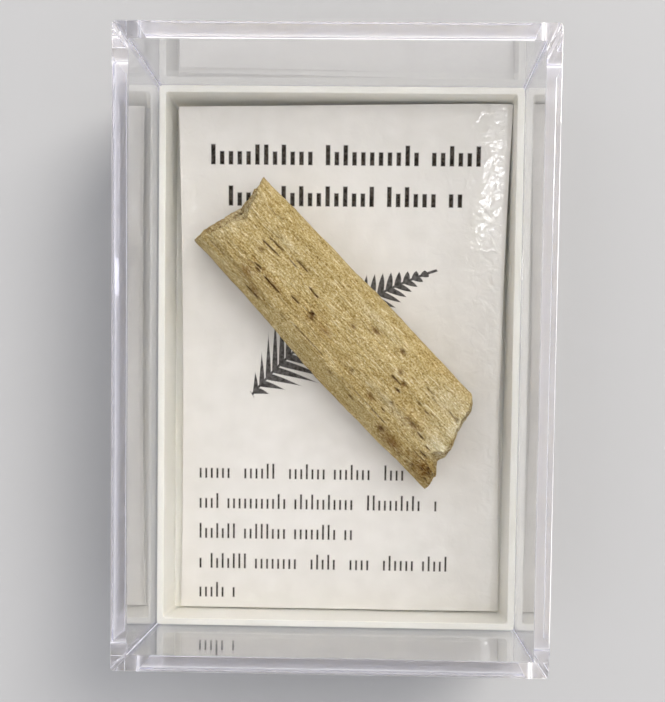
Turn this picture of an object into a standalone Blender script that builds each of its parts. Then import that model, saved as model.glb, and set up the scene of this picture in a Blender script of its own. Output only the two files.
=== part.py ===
"""A fossil ossified tendon in a small two-piece display box.

Metres, +Z up. The origin is the middle of the box's underside, +Y runs along the box and +X across it.
Pieces: box_base (white moulded tray), label_card (curled glossy card), tendon (the fossil) and
box_lid (clear moulded cover). The card lies in the tray, the tendon lies on the card, and the cover
stands on the tray's flange.
"""

import math

import bmesh
import bpy
from mathutils import Matrix, Vector, noise

MM = 0.001

# --- driving dimensions, mm ---------------------------------------------------------------------
BOX_WIDTH = 40.0
BOX_LENGTH = 58.3
BOX_HEIGHT = 20.0
REST_GAP = 0.3  # left between a piece and what it rests on

PLATE = 1.2  # the tray's floor and flange are one plate
RIM_TOP = 5.7
RIM_INSET = 1.4  # flange left outside the rim
RIM_THICK = 0.7  # at the rim's top
RIM_TAPER = 0.3  # extra thickness at the rim's foot

WALL = 1.27
LID_TOP = 1.25
DRAFT = 0.2  # the cover is this much narrower on each side at its top
OUTER_RADIUS = 0.4
INNER_RADIUS = 0.15
RIM_RADIUS = 0.35
EDGE_BREAK = 0.08

CARD_THICK = 0.25
# The hand-cut card's corners, (x, y): front left, front right, back left, back right.
CARD_CORNERS = ((-17.1, -26.6), (17.4, -26.6), (-17.1, 26.1), (17.65, 26.7))
CARD_RISE = 0.0243  # slope of the card at its front edge
CARD_CURL = 0.000305  # how much the slope grows, per mm

TENDON_CENTRE = (0.17, 3.45)
TENDON_TURN = -45.24  # degrees from +X
TENDON_HEIGHT = 5.8
TENDON_HALF_WIDTH = 5.0
AROUND = 56  # facets round the tendon
RINGS = 64  # rings from pole to pole, the broken ends included
CAP_RINGS = 7  # rings in each broken end

# The tendon's outline across it, in half-widths and heights, counter-clockwise seen from its right end.
# The crest lies towards +Y, and the -Y flank slopes away more gently.
SECTION = (
    (1.00, 0.50),
    (0.97, 0.80),
    (0.80, 0.96),
    (0.38, 1.00),
    (-0.12, 0.98),
    (-0.46, 0.92),
    (-0.76, 0.77),
    (-0.95, 0.56),
    (-1.00, 0.38),
    (-0.90, 0.14),
    (-0.55, 0.01),
    (0.00, 0.00),
    (0.55, 0.01),
    (0.92, 0.17),
)

# The flank's drift along the tendon: (x, half-width factor on the -Y side).
FLANK = ((-17.0, 0.91), (-9.8, 0.95), (-5.0, 1.00), (0.5, 1.055), (18.0, 1.06))

# The broken ends, from +Y to -Y: (y, x at mid height, x at the top edge).
LEFT_BREAK = (
    (4.95, -16.05, -15.75),
    (4.14, -16.00, -15.40),
    (3.15, -15.87, -15.05),
    (2.30, -15.72, -14.75),
    (1.45, -15.60, -14.45),
    (0.95, -15.70, -14.05),
    (0.40, -15.88, -14.30),
    (-0.20, -16.05, -14.65),
    (-0.90, -16.22, -15.00),
    (-1.90, -16.42, -15.25),
    (-3.00, -16.63, -15.45),
    (-3.70, -16.70, -15.60),
    (-4.54, -16.68, -15.85),
)
RIGHT_BREAK = (
    (4.95, 14.30, 14.00),
    (4.37, 15.19, 14.75),
    (3.80, 15.47, 15.10),
    (3.51, 15.76, 15.25),
    (2.41, 15.80, 15.40),
    (1.38, 16.11, 15.75),
    (0.58, 16.56, 16.13),
    (-0.34, 16.97, 16.45),
    (-1.15, 17.19, 16.53),
    (-1.75, 17.00, 15.90),
    (-2.15, 16.90, 15.55),
    (-2.60, 17.20, 16.40),
    (-3.22, 17.89, 17.20),
    (-3.91, 18.00, 17.35),
    (-4.48, 18.15, 17.70),
    (-5.29, 18.15, 17.70),
)

# Long splits in the upper face, (x from, x to, y), and pits, (x, y, radius, depth).
SPLITS = (
    (-15.9, -13.4, -3.2),
    (-3.9, 0.9, -3.15),
    (3.5, 10.0, -3.3),
    (14.0, 16.3, -3.25),
    (-11.5, -8.8, 0.62),
    (-8.0, -6.2, 1.60),
    (-10.3, -6.9, -1.85),
    (-5.8, -4.6, -1.20),
)
PITS = (
    (-3.1, -1.0, 0.55, 0.35),
    (6.1, 3.0, 0.55, 0.30),
    (2.8, 2.4, 0.60, 0.30),
    (9.2, -1.5, 0.60, 0.30),
    (7.2, -2.5, 0.55, 0.30),
    (-10.9, -2.8, 0.65, 0.35),
    (-8.9, -3.7, 0.75, 0.35),
    (12.2, -4.2, 0.80, 0.40),
    (16.4, -4.3, 0.80, 0.45),
    (-15.0, 1.0, 0.60, 0.50),
)
SPLIT_WIDTH = 0.50
SPLIT_DEPTH = 0.32
RIDGE_HEIGHT = 0.24


def empty_the_file():
    """Removes the objects, meshes and materials that the file opened with."""
    for thing in list(bpy.data.objects):
        bpy.data.objects.remove(thing, do_unlink=True)


def new_collection(name):
    collection = bpy.data.collections.new(name)
    bpy.context.scene.collection.children.link(collection)
    return collection


def finish_material(name, colour, roughness, transmission=0.0, ior=1.5):
    """A Principled material; colour is linear red, green and blue."""
    material = bpy.data.materials.new(name)
    material.use_nodes = True
    surface = material.node_tree.nodes["Principled BSDF"]
    surface.inputs["Base Color"].default_value = (*colour, 1.0)
    surface.inputs["Roughness"].default_value = roughness
    surface.inputs["Metallic"].default_value = 0.0
    surface.inputs["IOR"].default_value = ior
    surface.inputs["Transmission Weight"].default_value = transmission
    return material


def add_part(name, bm, material, collection):
    """Writes the bmesh, in mm, to a named object in metres, its faces turned outwards."""
    bmesh.ops.transform(bm, matrix=Matrix.Scale(MM, 4), verts=bm.verts)
    bmesh.ops.recalc_face_normals(bm, faces=bm.faces)
    if bm.calc_volume(signed=True) < 0:
        bmesh.ops.reverse_faces(bm, faces=bm.faces)
    mesh = bpy.data.meshes.new(name)
    bm.to_mesh(mesh)
    bm.free()
    mesh.materials.append(material)
    part = bpy.data.objects.new(name, mesh)
    collection.objects.link(part)
    return part


def block(bm, width, length, low, high):
    """A cuboid centred on the Z axis, between two heights. Returns its top and bottom faces."""
    made = bmesh.ops.create_cube(bm, size=1.0)
    for vert in made["verts"]:
        vert.co = Vector((vert.co.x * width, vert.co.y * length, low + (vert.co.z + 0.5) * (high - low)))
    bm.normal_update()
    top = max(bm.faces, key=lambda face: face.calc_center_median().z)
    bottom = min(bm.faces, key=lambda face: face.calc_center_median().z)
    return top, bottom


def step_face(bm, face, inset, height, narrower=0.0):
    """Insets a level face and moves what is inside to a new height, a little narrower if asked."""
    bmesh.ops.inset_region(bm, faces=[face], thickness=inset, use_even_offset=True)
    made = bmesh.ops.extrude_discrete_faces(bm, faces=[face])
    moved = made["faces"][0]
    for vert in moved.verts:
        vert.co.z = height
        vert.co.x -= math.copysign(narrower, vert.co.x)
        vert.co.y -= math.copysign(narrower, vert.co.y)
    bm.normal_update()
    return moved


def round_uprights(bm, half_width, radius, segments):
    """Rounds the four upright edges whose middle is near half_width from the X axis's origin."""
    picked = []
    for edge in bm.edges:
        a, b = edge.verts[0].co, edge.verts[1].co
        upright = abs(a.z - b.z) > 5 * math.hypot(a.x - b.x, a.y - b.y)
        if upright and abs(abs((a.x + b.x) / 2) - half_width) < 0.25:
            picked.append(edge)
    bmesh.ops.bevel(
        bm,
        geom=picked,
        offset=radius,
        segments=segments,
        profile=0.5,
        affect="EDGES",
        material=-1,
    )


def break_edges(part, width):
    """A small Bevel modifier on the sharp edges that are left."""
    bevel = part.modifiers.new("edge_break", "BEVEL")
    bevel.width = width * MM
    bevel.segments = 1
    bevel.limit_method = "ANGLE"
    bevel.angle_limit = math.radians(50)


def make_box_base(collection):
    bm = bmesh.new()
    top, _ = block(bm, BOX_WIDTH, BOX_LENGTH, 0.0, PLATE)
    rim_top = step_face(bm, top, RIM_INSET, RIM_TOP)
    step_face(bm, rim_top, RIM_THICK, PLATE, narrower=RIM_TAPER)
    rim_half = BOX_WIDTH / 2 - RIM_INSET
    round_uprights(bm, BOX_WIDTH / 2, OUTER_RADIUS, 4)
    round_uprights(bm, rim_half, RIM_RADIUS, 4)
    round_uprights(bm, rim_half - RIM_THICK - RIM_TAPER / 2, RIM_RADIUS, 4)
    white = finish_material("moulded_white_polystyrene", (0.80, 0.79, 0.74), 0.25)
    part = add_part("box_base", bm, white, collection)
    break_edges(part, EDGE_BREAK)
    return part


def make_box_lid(collection):
    low = PLATE + REST_GAP
    bm = bmesh.new()
    top, bottom = block(bm, BOX_WIDTH, BOX_LENGTH, low, BOX_HEIGHT)
    for vert in top.verts:
        vert.co.x -= math.copysign(DRAFT, vert.co.x)
        vert.co.y -= math.copysign(DRAFT, vert.co.y)
    step_face(bm, bottom, WALL, BOX_HEIGHT - LID_TOP, narrower=DRAFT)
    round_uprights(bm, (BOX_WIDTH - DRAFT) / 2, OUTER_RADIUS, 4)
    round_uprights(bm, (BOX_WIDTH - DRAFT) / 2 - WALL, INNER_RADIUS, 3)
    clear = finish_material("clear_polystyrene", (0.95, 0.95, 0.97), 0.03, transmission=1.0, ior=1.59)
    part = add_part("box_lid", bm, clear, collection)
    break_edges(part, EDGE_BREAK)
    return part


def card_height(y):
    """Height of the card's upper face at a distance y from the box's middle."""
    along = y - CARD_CORNERS[0][1]
    low = PLATE + REST_GAP + CARD_THICK
    return low + CARD_RISE * along + CARD_CURL * along * along


def make_label_card(collection):
    bm = bmesh.new()
    bmesh.ops.create_grid(bm, x_segments=6, y_segments=20, size=1.0)
    corners = [Vector(corner) for corner in CARD_CORNERS]
    for vert in bm.verts:
        across = (vert.co.x + 1) / 2
        along = (vert.co.y + 1) / 2
        front = corners[0].lerp(corners[1], across)
        back = corners[2].lerp(corners[3], across)
        spot = front.lerp(back, along)
        vert.co = Vector((spot.x, spot.y, card_height(spot.y)))
    glossy = finish_material("glossy_printed_card", (0.74, 0.70, 0.64), 0.12)
    part = add_part("label_card", bm, glossy, collection)
    thickness = part.modifiers.new("card_thickness", "SOLIDIFY")
    thickness.thickness = CARD_THICK * MM
    thickness.offset = -1.0
    return part


def ramp(value, start, end):
    """0 before start, 1 after end, and smooth between."""
    t = min(1.0, max(0.0, (value - start) / (end - start)))
    return t * t * (3 - 2 * t)


def read_table(table, key, column):
    """A value between the rows of a table, by the key in its first column."""
    rows = sorted(table)
    if key <= rows[0][0]:
        return rows[0][column]
    for low, high in zip(rows, rows[1:]):
        if key <= high[0]:
            t = (key - low[0]) / (high[0] - low[0])
            return low[column] + t * (high[column] - low[column])
    return rows[-1][column]


def section_point(turn):
    """A point of the closed outline, turn running from 0 to 1, on a smooth curve through SECTION."""
    count = len(SECTION)
    place = (turn % 1.0) * count
    index = int(place)
    t = place - index
    p0, p1, p2, p3 = (Vector(SECTION[(index + step) % count]) for step in (-1, 0, 1, 2))
    return 0.5 * (
        2 * p1 + (p2 - p0) * t + (2 * p0 - 5 * p1 + 4 * p2 - p3) * t**2 + (3 * p1 - p0 - 3 * p2 + p3) * t**3
    )


def end_place(table, inward, y, height):
    """Where a broken end lies at a place across it; inward is +1 at the left end and -1 at the right."""
    middle = read_table(table, y, 1)
    top = read_table(table, y, 2)
    worn = 0.5 * inward * (1 - ramp(height, 0.0, 0.4))
    rough = 0.12 * noise.noise(Vector((y * 1.3, height * 5.0, inward * 7.0)))
    return middle + (top - middle) * ramp(height, 0.5, 1.0) + worn + rough


def relief(x, y, height, turn):
    """How far the surface stands out, in mm: long ridges, splits and pits."""
    out = RIDGE_HEIGHT * noise.noise(Vector((x * 0.06, turn * 26.0, 3.0)))
    out += 0.12 * noise.noise(Vector((x * 0.25, y * 0.5, height * 2.0)))
    if height > 0.6:
        for start, end, across in SPLITS:
            near = math.exp(-(((y - across) / SPLIT_WIDTH) ** 2))
            out -= SPLIT_DEPTH * near * ramp(x, start - 0.6, start + 0.3) * (1 - ramp(x, end - 0.3, end + 0.6))
        for pit_x, pit_y, radius, depth in PITS:
            out -= depth * math.exp(-(((x - pit_x) ** 2 + (y - pit_y) ** 2) / radius**2))
    return out


def make_tendon(collection):
    """A ball of rings is drawn out along X: its polar rings close the broken ends, the rest are the shaft."""
    bm = bmesh.new()
    bmesh.ops.create_uvsphere(bm, u_segments=AROUND, v_segments=RINGS, radius=1.0)
    middle = Vector((0.0, 0.5))
    shaft_rings = RINGS - 2 * CAP_RINGS
    for vert in bm.verts:
        ring = round(math.acos(max(-1.0, min(1.0, vert.co.z))) / math.pi * RINGS)
        turn = math.atan2(vert.co.y, vert.co.x) / math.tau
        from_end = min(ring, RINGS - ring)
        reach = min(1.0, from_end / CAP_RINGS)
        along = min(1.0, max(0.0, (ring - CAP_RINGS) / shaft_rings))
        spot = middle + (section_point(turn) - middle) * reach
        y = spot.x * TENDON_HALF_WIDTH
        height = spot.y
        left = end_place(LEFT_BREAK, 1, y, height)
        right = end_place(RIGHT_BREAK, -1, y, height)
        x = left + (right - left) * along
        if y < 0:
            y *= 1 + (read_table(FLANK, x, 1) - 1) * min(1.0, -y / TENDON_HALF_WIDTH)
        z = height * TENDON_HEIGHT
        if from_end >= CAP_RINGS:
            outward = Vector((y / TENDON_HALF_WIDTH, height - 0.5))
            outward.normalize()
            out = relief(x, y, height, turn) * ramp(min(x - left, right - x), -0.5, 0.8)
            y += outward.x * out
            z += outward.y * out
        vert.co = Vector((x, y, z))
    low = min(vert.co.z for vert in bm.verts)
    bmesh.ops.translate(bm, vec=(0, 0, -low), verts=bm.verts)
    bone = finish_material("fossil_bone", (0.45, 0.34, 0.18), 0.75)
    part = add_part("tendon", bm, bone, collection)
    x, y = TENDON_CENTRE
    slope = CARD_RISE + 2 * CARD_CURL * (y - CARD_CORNERS[0][1])
    lie = Matrix.Rotation(math.atan(slope), 4, "X") @ Matrix.Rotation(math.radians(TENDON_TURN), 4, "Z")
    rest = card_height(y) + REST_GAP
    part.matrix_world = Matrix.Translation((x * MM, y * MM, rest * MM)) @ lie
    return part


def build():
    empty_the_file()
    collection = new_collection("tendon_display_box")
    make_box_base(collection)
    make_label_card(collection)
    make_tendon(collection)
    make_box_lid(collection)


build()
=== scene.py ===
"""Looks of a fossil ossified tendon in a small clear-topped display box.

The box stands on a pale floor and is seen from nearly straight above. Metres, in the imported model's
frame: the origin is the middle of the box's underside, +Y runs along the box and +Z up through the
cover. Sizes in the sections are in mm unless their comment says otherwise.
"""

import math
import random

import bmesh
import bpy
import numpy as np
from mathutils import Euler, Matrix, Vector, noise


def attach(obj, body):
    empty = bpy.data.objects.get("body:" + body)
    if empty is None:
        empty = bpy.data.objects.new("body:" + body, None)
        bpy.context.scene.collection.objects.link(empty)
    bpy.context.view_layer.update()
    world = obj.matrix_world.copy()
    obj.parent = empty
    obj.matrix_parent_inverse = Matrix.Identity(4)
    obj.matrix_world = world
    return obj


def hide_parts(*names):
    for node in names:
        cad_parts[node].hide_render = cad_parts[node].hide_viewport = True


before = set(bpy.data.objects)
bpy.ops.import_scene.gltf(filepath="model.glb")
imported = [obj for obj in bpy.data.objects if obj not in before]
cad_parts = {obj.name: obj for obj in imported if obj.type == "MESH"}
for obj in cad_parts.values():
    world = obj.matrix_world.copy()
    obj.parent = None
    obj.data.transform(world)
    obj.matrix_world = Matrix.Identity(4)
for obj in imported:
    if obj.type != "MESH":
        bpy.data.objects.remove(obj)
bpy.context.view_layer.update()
MM = 0.001
scene = bpy.context.scene


# --- camera: held over the box, a little right of its middle, and looking almost straight down. Its
# shift frames the whole cover without tipping the camera.
CAMERA_PLACE = (3.557, -4.605, 107.696)
CAMERA_TURN = (-2.529, 1.115, 0.778)  # degrees
CAMERA_LENS = 50.5
CAMERA_FILM = 36.0
CAMERA_SHIFT = (-0.0288, 0.1394)
CAMERA_NEAREST = 1.0

camera = bpy.data.cameras.new("camera")
camera.sensor_width = CAMERA_FILM
camera.lens = CAMERA_LENS
camera.shift_x, camera.shift_y = CAMERA_SHIFT
camera.clip_start = CAMERA_NEAREST * MM
camera_stand = bpy.data.objects.new("camera", camera)
camera_stand.location = Vector(CAMERA_PLACE) * MM
camera_stand.rotation_euler = Euler([math.radians(turn) for turn in CAMERA_TURN], "XYZ")
scene.collection.objects.link(camera_stand)
scene.camera = camera_stand


# --- floor: the plain pale board that the box stands on, painted matt. It is far wider than the view,
# so no edge of it shows from any side.
FLOOR_HALF_WIDTH = 3.0  # metres
FLOOR_PALE = "#919193"
FLOOR_ROUGHNESS = 0.8


def linear(colour):
    """An sRGB hex colour as linear red, green, blue and alpha."""
    parts = [int(colour[place:place + 2], 16) / 255 for place in (1, 3, 5)]
    curved = [((part + 0.055) / 1.055) ** 2.4 for part in parts]
    return (*[part / 12.92 if part <= 0.04045 else curve for part, curve in zip(parts, curved)], 1.0)


def node(tree, kind, inputs=None, **settings):
    """Adds a node with its settings. An input that is a node's socket is linked, any other is set."""
    made = tree.nodes.new(kind)
    for name, value in settings.items():
        setattr(made, name, value)
    for key, value in (inputs or {}).items():
        if isinstance(value, bpy.types.NodeSocket):
            tree.links.new(value, made.inputs[key])
        else:
            made.inputs[key].default_value = value
    return made


def set_stops(shade, stops):
    """Gives a colour ramp these stops, each a position and an sRGB hex colour."""
    elements = shade.color_ramp.elements
    while len(elements) > 1:
        elements.remove(elements[-1])
    for index, (position, colour) in enumerate(stops):
        stop = elements[0] if index == 0 else elements.new(position)
        stop.position = position
        stop.color = linear(colour)


def new_material(name):
    """An empty node material and its tree."""
    material = bpy.data.materials.new(name)
    material.use_nodes = True
    material.node_tree.nodes.clear()
    return material, material.node_tree


def new_piece(name, bm, material):
    """Writes a bmesh, in mm, to a named object in metres at the origin."""
    bmesh.ops.transform(bm, matrix=Matrix.Scale(MM, 4), verts=bm.verts)
    mesh = bpy.data.meshes.new(name)
    bm.to_mesh(mesh)
    bm.free()
    mesh.materials.append(material)
    piece = bpy.data.objects.new(name, mesh)
    scene.collection.objects.link(piece)
    return piece


# Matt emulsion on board: an even pale grey with no gloss.
matt_floor, tree = new_material("matt_painted_board")
surface = node(
    tree,
    "ShaderNodeBsdfPrincipled",
    {"Base Color": linear(FLOOR_PALE), "Roughness": FLOOR_ROUGHNESS},
)
node(tree, "ShaderNodeOutputMaterial", {"Surface": surface.outputs["BSDF"]})
bm = bmesh.new()
bmesh.ops.create_grid(bm, x_segments=1, y_segments=1, size=FLOOR_HALF_WIDTH / MM)
floor = new_piece("floor", bm, matt_floor)


# --- light: a pale room, brightest high up, with a dark patch overhead just where the cover's flat
# top mirrors it to the camera. One soft lamp stands at the upper right, and a small one beside it
# shows in gloss alone. Places and sizes are in metres here.
DARK_PATCH = ((-0.04, 0.05), (0.26, 0.36))  # its middle and half size, per unit of height
ROOM = ((0.0, "#77787b"), (0.25, "#d4d5d9"), (0.50, "#ffffff"), (0.86, "#ffffff"), (0.98, "#2d2b28"))
ROOM_STRENGTH = 2.05
KEY_PLACE = (0.50, 0.47, 0.84)
KEY_SIZE = (0.5, 0.5)
KEY_POWER = 14.5  # watts
KEY_COLOUR = "#fffaf0"
GLINT_PLACE = (0.257, 0.128, 0.95)
GLINT_SIZE = (0.035, 0.12)
GLINT_RADIANCE = 10.0
GLINT_COLOUR = "#ffffff"
LIGHT_BOUNCES = 64  # light passes through and along the clear walls many times
MATH = "ShaderNodeMath"
VECTOR_MATH = "ShaderNodeVectorMath"

world = bpy.data.worlds.new("soft_room")
scene.world = world
world.use_nodes = True
tree = world.node_tree
tree.nodes.clear()
direction = node(tree, "ShaderNodeTexCoord").outputs["Generated"]
height = node(tree, "ShaderNodeSeparateXYZ", {"Vector": direction}).outputs["Z"]
overhead = node(tree, VECTOR_MATH, {0: direction, 1: height}, operation="DIVIDE").outputs[0]
patch_middle, patch_half = DARK_PATCH
off = node(tree, VECTOR_MATH, {0: overhead, 1: (*patch_middle, 0)}, operation="SUBTRACT").outputs[0]
off = node(tree, VECTOR_MATH, {0: off}, operation="ABSOLUTE").outputs[0]
off = node(tree, VECTOR_MATH, {0: off, 1: (*patch_half, 1)}, operation="DIVIDE").outputs[0]
off = node(tree, "ShaderNodeSeparateXYZ", {"Vector": off})
away = node(tree, MATH, {0: off.outputs["X"], 1: off.outputs["Y"]}, operation="MAXIMUM").outputs[0]
nearness = node(tree, MATH, {0: 1.0, 1: away}, operation="DIVIDE", use_clamp=True).outputs[0]
shade = node(tree, "ShaderNodeValToRGB", {"Fac": nearness})
set_stops(shade, ROOM)
room = node(
    tree, "ShaderNodeBackground", {"Color": shade.outputs["Color"], "Strength": ROOM_STRENGTH}
)
node(tree, "ShaderNodeOutputWorld", {"Surface": room.outputs["Background"]})


def soft_lamp(name, place, size, power, colour):
    """An area lamp, in metres and watts, that faces the box."""
    lamp = bpy.data.lights.new(name, "AREA")
    lamp.shape = "RECTANGLE"
    lamp.size, lamp.size_y = size
    lamp.energy = power
    lamp.color = linear(colour)[:3]
    stand = bpy.data.objects.new(name, lamp)
    stand.location = place
    stand.rotation_euler = (-Vector(place)).to_track_quat("-Z", "Y").to_euler()
    scene.collection.objects.link(stand)
    return lamp


soft_lamp("key_lamp", KEY_PLACE, KEY_SIZE, KEY_POWER, KEY_COLOUR)
glint_power = GLINT_RADIANCE * math.pi * GLINT_SIZE[0] * GLINT_SIZE[1]
glint_lamp = soft_lamp("glint_lamp", GLINT_PLACE, GLINT_SIZE, glint_power, GLINT_COLOUR)
glint_lamp.use_nodes = True
tree = glint_lamp.node_tree
tree.nodes.clear()
path = node(tree, "ShaderNodeLightPath")
in_gloss = node(
    tree, MATH, {0: 1.0, 1: path.outputs["Diffuse Depth"]}, operation="SUBTRACT", use_clamp=True
)
glow = node(tree, "ShaderNodeEmission", {"Strength": in_gloss.outputs["Value"]})
node(tree, "ShaderNodeOutputLight", {"Surface": glow.outputs["Emission"]})
scene.view_settings.view_transform = "Standard"
scene.cycles.max_bounces = LIGHT_BOUNCES
scene.cycles.glossy_bounces = LIGHT_BOUNCES
scene.cycles.transmission_bounces = LIGHT_BOUNCES


# --- box_base: the tray. One moulding in glossy white polystyrene: a plate that is the floor and the
# flange, and a thin rim wall on it that thickens towards its foot.
BOX_WIDTH = 40.0
BOX_LENGTH = 58.3
PLATE = 1.2  # thickness of the floor and the flange
RIM_TOP = 5.7  # height of the rim over the ground
RIM_INSET = 1.4
RIM_THICK = 0.7
RIM_TAPER = 0.3
OUTER_RADIUS = 0.4
RIM_RADIUS = 0.35
ROUND_SEGMENTS = 6
SOFT_EDGE = 0.12  # radius that the mould leaves on every edge
SOFT_SEGMENTS = 3
TRAY_WHITE = "#fffdf4"
TRAY_SHADE = "#fcf9ee"
TRAY_ROUGHNESS = 0.22
POLYSTYRENE_IOR = 1.59
FLOW_MARK = 6.25  # from one flow mark to the next
RIPPLE = 1.43  # from crest to crest
RIPPLE_DEPTH = 0.05
RIPPLE_STRENGTH = 0.12
GLOW_SHARE = 0.3  # of the light goes in and comes out again near by
GLOW_DEPTH = 1.5  # how far light spreads inside the white plastic
GLOW_REACH = (1.0, 0.95, 0.85)  # of that depth, for red, green and blue light
EDGE_REACH = 0.25  # an upright edge is found within this of where it should be
SHARP_ANGLE = 40  # degrees, past which an edge counts as sharp


def block(bm, width, length, low, high):
    """A cuboid centred on the Z axis, between two heights. Returns its top and bottom faces."""
    made = bmesh.ops.create_cube(bm, size=1.0)
    for vert in made["verts"]:
        z = low + (vert.co.z + 0.5) * (high - low)
        vert.co = Vector((vert.co.x * width, vert.co.y * length, z))
    bm.normal_update()
    top = max(bm.faces, key=lambda face: face.calc_center_median().z)
    bottom = min(bm.faces, key=lambda face: face.calc_center_median().z)
    return top, bottom


def draw_in(verts, narrower):
    """Moves vertices towards the middle of the box, as a mould's draft does."""
    for vert in verts:
        vert.co.x -= math.copysign(narrower, vert.co.x)
        vert.co.y -= math.copysign(narrower, vert.co.y)


def step_face(bm, face, inset, height, narrower=0.0):
    """Insets a level face and moves what is inside to a new height, a little narrower if asked."""
    bmesh.ops.inset_region(bm, faces=[face], thickness=inset, use_even_offset=True)
    made = bmesh.ops.extrude_discrete_faces(bm, faces=[face])
    moved = made["faces"][0]
    for vert in moved.verts:
        vert.co.z = height
    draw_in(moved.verts, narrower)
    bm.normal_update()
    return moved


def round_uprights(bm, half_width, radius, segments):
    """Rounds the four upright edges whose middle is near half_width from the Y axis."""
    picked = []
    for edge in bm.edges:
        a, b = edge.verts[0].co, edge.verts[1].co
        upright = abs(a.z - b.z) > 5 * math.hypot(a.x - b.x, a.y - b.y)
        if upright and abs(abs((a.x + b.x) / 2) - half_width) < EDGE_REACH:
            picked.append(edge)
    bmesh.ops.bevel(
        bm, geom=picked, offset=radius, segments=segments, profile=0.5, affect="EDGES", material=-1
    )


def face_outwards(bm):
    """Turns every face of a closed shell outwards."""
    bmesh.ops.recalc_face_normals(bm, faces=bm.faces)
    if bm.calc_volume(signed=True) < 0:
        bmesh.ops.reverse_faces(bm, faces=bm.faces)
    bm.normal_update()


def soften_edges(piece):
    """A small Bevel modifier on the sharp edges that are left, as the mould rounds them."""
    bevel = piece.modifiers.new("moulded_edges", "BEVEL")
    bevel.width = SOFT_EDGE * MM
    bevel.segments = SOFT_SEGMENTS
    bevel.limit_method = "ANGLE"
    bevel.angle_limit = math.radians(SHARP_ANGLE)


# Glossy white polystyrene, injection moulded: an even warm white with a faint cloud of flow marks, a
# tight highlight with a very slight ripple, and a little light that spreads inside it.
white_polystyrene, tree = new_material("white_moulded_polystyrene")
place = node(tree, "ShaderNodeTexCoord").outputs["Object"]
cloud = node(
    tree, "ShaderNodeTexNoise", {"Vector": place, "Scale": 1 / (FLOW_MARK * MM), "Detail": 3.0}
)
tone = node(tree, "ShaderNodeValToRGB", {"Fac": cloud.outputs["Fac"]})
set_stops(tone, ((0.35, TRAY_SHADE), (0.65, TRAY_WHITE)))
ripple = node(
    tree, "ShaderNodeTexNoise", {"Vector": place, "Scale": 1 / (RIPPLE * MM), "Detail": 2.0}
)
relief = node(
    tree,
    "ShaderNodeBump",
    {"Height": ripple.outputs["Fac"], "Strength": RIPPLE_STRENGTH, "Distance": RIPPLE_DEPTH * MM},
)
surface = node(
    tree,
    "ShaderNodeBsdfPrincipled",
    {
        "Base Color": tone.outputs["Color"],
        "Roughness": TRAY_ROUGHNESS,
        "IOR": POLYSTYRENE_IOR,
        "Subsurface Weight": GLOW_SHARE,
        "Subsurface Radius": GLOW_REACH,
        "Subsurface Scale": GLOW_DEPTH * MM,
        "Normal": relief.outputs["Normal"],
    },
)
node(tree, "ShaderNodeOutputMaterial", {"Surface": surface.outputs["BSDF"]})

bm = bmesh.new()
top, _ = block(bm, BOX_WIDTH, BOX_LENGTH, 0.0, PLATE)
rim_top = step_face(bm, top, RIM_INSET, RIM_TOP)
step_face(bm, rim_top, RIM_THICK, PLATE, narrower=RIM_TAPER)
rim_half = BOX_WIDTH / 2 - RIM_INSET
round_uprights(bm, BOX_WIDTH / 2, OUTER_RADIUS, ROUND_SEGMENTS)
round_uprights(bm, rim_half, RIM_RADIUS, ROUND_SEGMENTS)
round_uprights(bm, rim_half - RIM_THICK - RIM_TAPER / 2, RIM_RADIUS, ROUND_SEGMENTS)
face_outwards(bm)
tray = new_piece("white_tray", bm, white_polystyrene)
soften_edges(tray)
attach(tray, "root")
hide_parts("box_base")


# --- label_card: a hand-cut slip of glossy coated card, printed in dark ink. It lies loose in the tray
# and curls up towards its heading, and its right edge turns down a little.
CARD_THICK = 0.25
REST_GAP = 0.3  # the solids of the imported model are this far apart
CARD_CORNERS = ((-16.8, -26.6), (17.45, -26.6), (-16.93, 26.1), (17.75, 26.7))
CARD_WAIST = (0.3, 0.47)  # how far the left and the right edge bow inwards half way along
CARD_RISE = 0.0243  # per mm along the card
CARD_CURL = 0.000305  # per square mm
CARD_DROOP = 0.0108  # per square mm, over the last few mm at the right edge
DROOP_WIDTH = 5.0
CARD_CREAM = "#f2efea"
CARD_SHADE = "#eae7e1"
CARD_INK = "#2a2016"
FERN_INK = "#403d3c"
FERN_PALE = "#6b6866"
MOTTLE_AND_SHEEN = 2.0  # from cloud to cloud of the board's mottle, which also paints a mottled sheen
INK_GRAIN = 1 / 3  # from speck to speck of the print
INK_WORN = 0.93  # how much ink is left where it is thinnest
DIMPLE = 1.2  # from dimple to dimple of the clear film
DIMPLE_DEPTH = 0.042
FILM_ROUGHNESS = 0.025
FILM_IOR = 1.8


def card_height(y):
    """Height of the card's upper face at a distance y from the box's middle."""
    along = y - CARD_CORNERS[0][1]
    low = PLATE + REST_GAP + CARD_THICK
    return low + CARD_RISE * along + CARD_CURL * along * along


# Rows of plain upright strokes stand where words would be: (foot, left, right, stroke height, pitch,
# stroke width, word). The two heading rows come first.
PRINT_ROWS = (
    (20.3, -13.4, 14.6, 2.05, 0.92, 0.46, 11.0),
    (16.1, -11.6, 12.8, 2.05, 0.92, 0.46, 9.0),
    (-12.6, -15.0, 7.2, 1.60, 0.60, 0.20, 5.2),
    (-15.85, -15.0, 10.6, 1.60, 0.60, 0.20, 7.4),
    (-19.1, -15.0, 2.0, 1.60, 0.60, 0.20, 5.6),
    (-22.35, -15.0, 12.2, 1.60, 0.60, 0.20, 4.6),
    (-25.5, -15.0, -10.9, 1.60, 0.60, 0.20, 6.0),
)
WORD_GAP = 0.45
WORD_UNEVEN = 0.75
SHORT_STROKE = 0.66  # of the full height
SHORT_SHARE = 0.7  # of the strokes
ROW_SHIFT = 23.7  # keeps the rows from grouping alike
INK_BLEED = 0.05
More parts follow.
